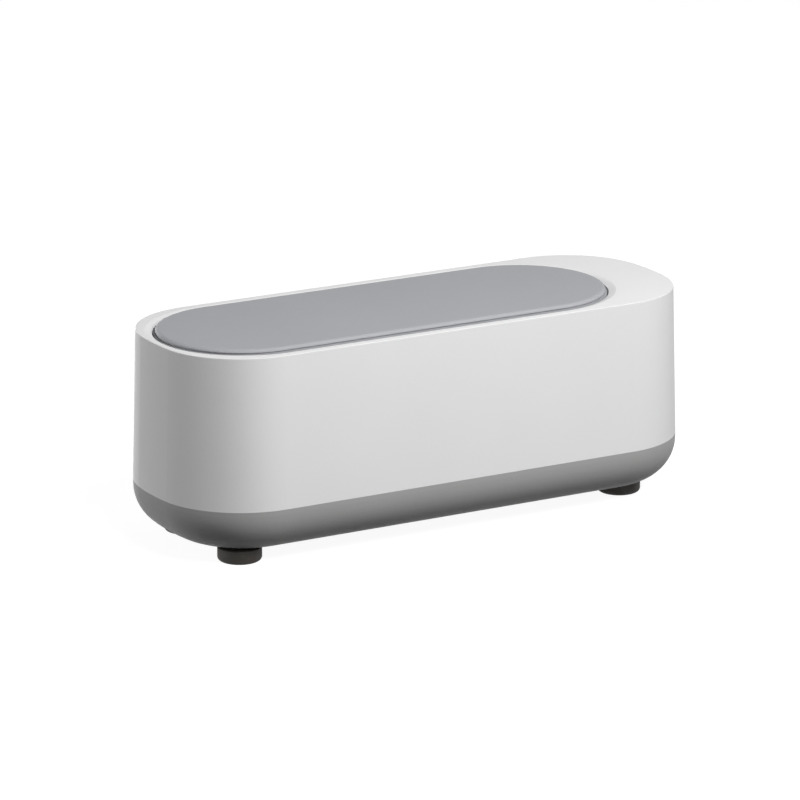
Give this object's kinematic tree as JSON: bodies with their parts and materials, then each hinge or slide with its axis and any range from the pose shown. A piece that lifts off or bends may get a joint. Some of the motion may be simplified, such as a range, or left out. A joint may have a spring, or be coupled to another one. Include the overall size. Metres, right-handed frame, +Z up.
{
  "type": "sonic jewelry cleaner",
  "caption": "Long round-ended counter-top cleaner: white case on a grey base with rubber feet, lift-off grey lid over a stainless tub, end power button and a shaker motor below.",
  "frame": {"origin": "on the ground under the middle of the body, in the plane of the feet", "axes": "+X along the body towards the deck and the power button, -Y towards the pictured long side, +Z up"},
  "size_m": [0.2, 0.0756, 0.0751],
  "materials": {
    "white_case": "satin moulded ABS",
    "grey_case": "fine matt moulded ABS",
    "stainless": "drawn and brushed",
    "seal": "soft silicone",
    "foot_rubber": "smooth moulded rubber",
    "screw_steel": "zinc plated",
    "button_white": "polished ABS",
    "black_plastic": "moulded nylon",
    "bracket_plastic": "glass filled nylon",
    "board_green": "solder mask",
    "led_cream": "clear epoxy over a cream case",
    "lens_clear": "polished acrylic",
    "plug_cream": "moulded nylon",
    "motor_steel": "nickel plated",
    "contact_brass": "stamped",
    "magnet_ferrite": "sintered ferrite",
    "rotor_core": "laminated core with enamelled winding",
    "weight_brass": "turned",
    "cell_case": "printed sleeve over steel",
    "contact_steel": "nickel plated spring steel",
    "wire_red": "flexible sleeving",
    "wire_black": "flexible sleeving"
  },
  "bodies": {
    "case": {"upper_shell": "white_case", "tank": "stainless", "tank_gasket": "seal", "base": "grey_case", "foot_front_left": "foot_rubber", "foot_front_right": "foot_rubber", "foot_rear_left": "foot_rubber", "foot_rear_right": "foot_rubber", "case_screws": "screw_steel", "tact_switch": "motor_steel", "control_board": "board_green", "timer_chip": "black_plastic", "status_led": "led_cream", "led_lens": "lens_clear", "wire_plug": "plug_cream", "board_screws": "screw_steel", "motor_mount": "bracket_plastic", "motor_clamp": "bracket_plastic", "clamp_screws": "screw_steel", "motor_can": "motor_steel", "motor_end_cap": "black_plastic", "motor_terminals": "contact_brass", "motor_bush": "contact_brass", "motor_magnets": "magnet_ferrite", "battery_cell_1": "cell_case", "battery_cell_2": "cell_case", "battery_cell_3": "cell_case", "battery_cell_4": "cell_case", "contact_plates": "contact_steel", "contact_springs": "contact_steel", "motor_leads": "wire_red", "battery_leads": "wire_black"},
    "lid": {"lid": "grey_case"},
    "power_button": {"power_button": "button_white", "switch_plunger": "black_plastic"},
    "battery_door": {"battery_door": "grey_case"},
    "rotor": {"motor_shaft": "motor_steel", "armature": "rotor_core", "eccentric_weight": "weight_brass"}
  },
  "joints": [
    {"name": "lid_lift", "type": "slide", "parent": "case", "child": "lid", "axis": [0, 0, 1], "range_m": [0, 0.08]},
    {"name": "button_press", "type": "slide", "parent": "case", "child": "power_button", "axis": [-1, 0, 0], "range_m": [0, 0.0006], "stiffness_N_per_m": 1500},
    {"name": "battery_door_swing", "type": "hinge", "parent": "case", "child": "battery_door", "pos_m": [-0.0607, 0, 0.00605], "axis": [0, 1, 0], "range_deg": [0, 95]},
    {"name": "motor_spin", "type": "hinge", "parent": "case", "child": "rotor", "pos_m": [0.033, 0, 0.0208], "axis": [1, 0, 0], "continuous": true}
  ]
}
